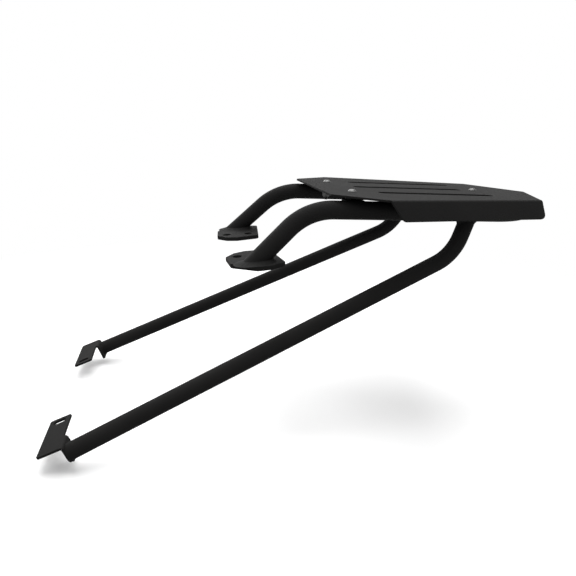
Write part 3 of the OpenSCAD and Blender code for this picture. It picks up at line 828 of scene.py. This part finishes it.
def nut_rows():
    """Locking nut, from its bore at the top over the chamfered hexagon, where the radius is
    the smaller of hexagon and cone, to the round collar with its plastic ring."""
    shape = hexagon(NUT_AF)
    top, body_low = washer_z, nut_z + 1.6
    bore = BOLT_D / 2 + 0.05
    rows = [(bore, nut_z + 0.3), (bore, top - 0.5), (bore + 0.45, top), (4.75, top)]
    for drop in (0.15, 0.3, 0.45, 0.6, 0.75):
        rows.append((np.minimum(shape, 4.75 + drop * 1.5), top - drop))
    for rise in (0.75, 0.6, 0.45, 0.3, 0.15):
        rows.append((np.minimum(shape, 4.75 + rise * 1.5), body_low + rise))
    rows += [(4.6, body_low), (4.5, body_low - 0.15), (4.45, nut_z + 0.7), (4.2, nut_z + 0.25),
             (3.75, nut_z), (3.6, nut_z + 0.12)]
    return rows + [(3.5, nut_z + 0.3), (bore, nut_z + 0.3)]


def ring_rows(top, low, outer_r, inner_r, edge):
    """Flat ring with rounded edges."""
    bow = edge * 0.3
    return [(inner_r, (top + low) / 2), (inner_r, top - edge), (inner_r + bow, top - bow),
            (inner_r + edge, top), (outer_r - edge, top), (outer_r - bow, top - bow),
            (outer_r, top - edge), (outer_r, low + edge), (outer_r - bow, low + bow),
            (outer_r - edge, low), (inner_r + edge, low), (inner_r + bow, low + bow),
            (inner_r, low + edge), (inner_r, (top + low) / 2)]


bolt_places = {"front_left": (FRONT_BOLT[0], -FRONT_BOLT[1]), "front_right": FRONT_BOLT,
               "rear": REAR_BOLT}
washer_rows = ring_rows(LUG_LOW_Z, washer_z, WASHER_D / 2, HOLE_D / 2, 0.3)
spacer_rows = ring_rows(-SHEET_T, LUG_TOP_Z, SPACER_D / 2, HOLE_D / 2, 0.5)
fasteners = (("bolt", bolt_rows(), "black_steel"), ("nut", nut_rows(), "black_steel"),
             ("washer", washer_rows, "black_steel"), ("spacer", spacer_rows, "rubber"))
for place, at in bolt_places.items():
    for kind, rows, finish in fasteners:
        faces_of = capped_faces if kind == "bolt" else grid_faces
        make_piece(f"{kind}_{place}_piece", turned(rows, at).reshape(-1, 3),
                   turned_round(faces_of(len(rows), AROUND)), finish, f"{kind}_{place}")


# ---------------------------------------------------------------- stage

FLOOR_HALF = 8.0
FLOOR_Z = -0.3035
WHITE_FROM, WHITE_BY = 0.45, 1.1
SKY_LEVEL = 0.45
CAMERA_PLACE = (-0.2272, -0.6451, 0.0676)
CAMERA_TURN, CAMERA_TIP, CAMERA_ROLL = -12.986, 17.502, 3.065
FOCAL_PIXELS, PICTURE_PIXELS = 500.0, 576.0
SENSOR_WIDTH = 36.0


def shown_white(tree):
    """1 for rays that show the background: to the camera, in gloss or through glass."""
    path = tree.nodes.new("ShaderNodeLightPath")
    seen = math_node(tree, "MAXIMUM", path.outputs["Is Camera Ray"],
                     path.outputs["Is Glossy Ray"])
    return math_node(tree, "MAXIMUM", seen, path.outputs["Is Transmission Ray"])


def make_stage():
    """Pale floor under the rack. Away from the rack it turns into plain white where it is
    seen, so that it meets the white world without an edge, and it is clear from below."""
    mesh = bpy.data.meshes.new("floor")
    corners = [(-1, -1), (1, -1), (1, 1), (-1, 1)]
    mesh.from_pydata([(x * FLOOR_HALF, y * FLOOR_HALF, FLOOR_Z) for x, y in corners], [],
                     [(0, 1, 2, 3)])
    floor = bpy.data.objects.new("floor", mesh)
    bpy.context.scene.collection.objects.link(floor)
    material = bpy.data.materials.new("pale_floor")
    material.use_nodes = True
    tree = material.node_tree
    shader = tree.nodes["Principled BSDF"]
    camera_ray = tree.nodes.new("ShaderNodeLightPath").outputs["Is Camera Ray"]
    tree.links.new(blend_colour(tree, camera_ray, (0.45, 0.45, 0.45), (0.95, 0.95, 0.95)),
                   shader.inputs["Base Color"])
    shader.inputs["Roughness"].default_value = 0.9
    shader.inputs["Specular IOR Level"].default_value = 0.1
    white = tree.nodes.new("ShaderNodeEmission")
    reach = tree.nodes.new("ShaderNodeVectorMath")
    reach.operation = "LENGTH"
    tree.links.new(tree.nodes.new("ShaderNodeTexCoord").outputs["Object"], reach.inputs[0])
    far = span(tree, reach.outputs["Value"], WHITE_FROM, WHITE_BY, 0.0, 1.0)
    mix = tree.nodes.new("ShaderNodeMixShader")
    tree.links.new(math_node(tree, "MULTIPLY", far, shown_white(tree)), mix.inputs[0])
    tree.links.new(shader.outputs[0], mix.inputs[1])
    tree.links.new(white.outputs[0], mix.inputs[2])
    open_below = tree.nodes.new("ShaderNodeMixShader")
    tree.links.new(tree.nodes.new("ShaderNodeNewGeometry").outputs["Backfacing"],
                   open_below.inputs[0])
    tree.links.new(mix.outputs[0], open_below.inputs[1])
    clear = tree.nodes.new("ShaderNodeBsdfTransparent")
    tree.links.new(clear.outputs[0], open_below.inputs[2])
    tree.links.new(open_below.outputs[0], tree.nodes["Material Output"].inputs["Surface"])
    mesh.materials.append(material)


def make_world():
    """White where it is seen, and a soft grey sky for light."""
    world = bpy.data.worlds.new("studio")
    bpy.context.scene.world = world
    world.use_nodes = True
    tree = world.node_tree
    background = tree.nodes["Background"]
    background.inputs["Color"].default_value = (1, 1, 1, 1)
    level = span(tree, shown_white(tree), 0.0, 1.0, SKY_LEVEL, 1.0)
    tree.links.new(level, background.inputs["Strength"])


def add_lamp(name, place, target, size, power):
    """Square soft lamp that faces its target; places in metres."""
    lamp = bpy.data.lights.new(name, "AREA")
    lamp.shape = "SQUARE"
    lamp.size = size
    lamp.energy = power
    holder = bpy.data.objects.new(name, lamp)
    holder.location = place
    way = mathutils.Vector(target) - mathutils.Vector(place)
    holder.rotation_euler = way.to_track_quat("-Z", "Y").to_euler()
    bpy.context.scene.collection.objects.link(holder)


def make_camera():
    """Camera at the photograph's viewing angle: turned about Z, tipped down and rolled."""
    turn, tip, roll = (math.radians(a) for a in (CAMERA_TURN, CAMERA_TIP, CAMERA_ROLL))
    ahead = mathutils.Vector((-math.sin(turn) * math.cos(tip), math.cos(turn) * math.cos(tip),
                              -math.sin(tip)))
    right = ahead.cross(mathutils.Vector((0, 0, 1))).normalized()
    up = right.cross(ahead)
    right, up = (right * math.cos(roll) + up * math.sin(roll),
                 up * math.cos(roll) - right * math.sin(roll))
    camera = bpy.data.cameras.new("camera")
    camera.sensor_width = SENSOR_WIDTH
    camera.lens = SENSOR_WIDTH * FOCAL_PIXELS / PICTURE_PIXELS
    camera.clip_start = 0.01
    holder = bpy.data.objects.new("camera", camera)
    axes = mathutils.Matrix((right, up, -ahead)).transposed().to_4x4()
    holder.matrix_world = mathutils.Matrix.Translation(CAMERA_PLACE) @ axes
    bpy.context.scene.collection.objects.link(holder)
    bpy.context.scene.camera = holder


make_stage()
make_world()
add_lamp("overhead_lamp", (0.1, 0.5, 2.2), (0.0, 0.0, -0.1), 2.4, 80.0)
add_lamp("side_lamp", (-1.6, -1.4, 1.5), (0.0, 0.0, -0.1), 1.6, 18.0)
add_lamp("back_lamp", (-0.9, 1.9, 1.1), (-0.15, 0.0, -0.1), 1.3, 26.0)
make_camera()
bpy.context.scene.view_settings.view_transform = "Standard"
